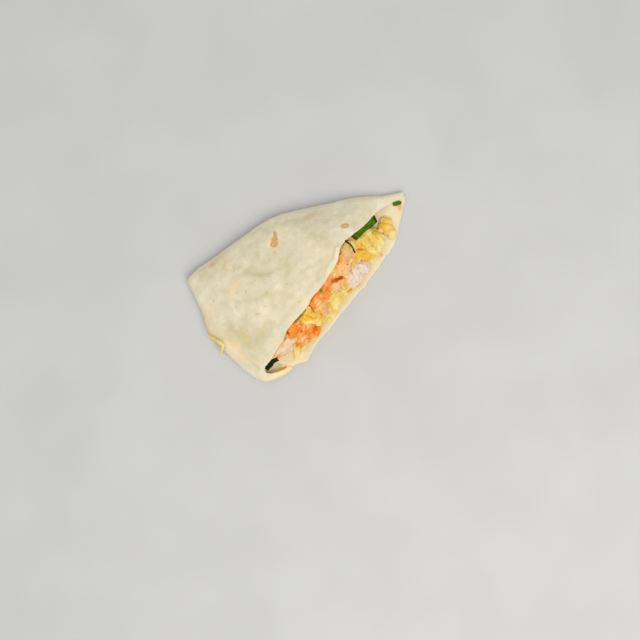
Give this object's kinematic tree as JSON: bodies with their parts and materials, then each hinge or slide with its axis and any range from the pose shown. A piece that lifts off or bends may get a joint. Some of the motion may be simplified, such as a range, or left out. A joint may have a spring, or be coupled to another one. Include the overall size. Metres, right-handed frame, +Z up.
{
  "type": "quesadilla",
  "caption": "Wedge of chicken quesadilla: a soft flour tortilla folded over melted cheese, chicken and spinach, cut straight so the filling shows.",
  "frame": {"origin": "middle of the footprint box, on the surface that the wedge lies on", "axes": "+X along the cut, from the blunt corner to the sharp tip; the cut faces -Y; +Z up"},
  "size_m": [0.1354, 0.0838, 0.0269],
  "materials": {
    "tortilla": "soft matt flour tortilla with pale tan toasting spots",
    "cheese": "melted and grated yellow cheese, slightly moist",
    "roast_chicken": "fibrous cooked chicken stained orange by sauce, moist",
    "pale_chicken": "fibrous pale cooked chicken, moist",
    "spinach": "wilted dark green leaf with a moist sheen"
  },
  "bodies": {
    "root": {"tortilla": "tortilla", "cheese_filling": "cheese", "cheese_clump": "cheese", "cheese_shred": "cheese", "chicken_piece_1": "roast_chicken", "chicken_piece_2": "pale_chicken", "chicken_piece_3": "pale_chicken", "chicken_piece_4": "roast_chicken", "chicken_piece_5": "pale_chicken", "chicken_piece_6": "roast_chicken", "chicken_piece_7": "roast_chicken", "chicken_piece_8": "pale_chicken", "spinach_leaf_1": "spinach", "spinach_leaf_2": "spinach", "spinach_leaf_3": "spinach", "spinach_leaf_4": "spinach", "herb_fleck": "spinach"}
  },
  "joints": []
}
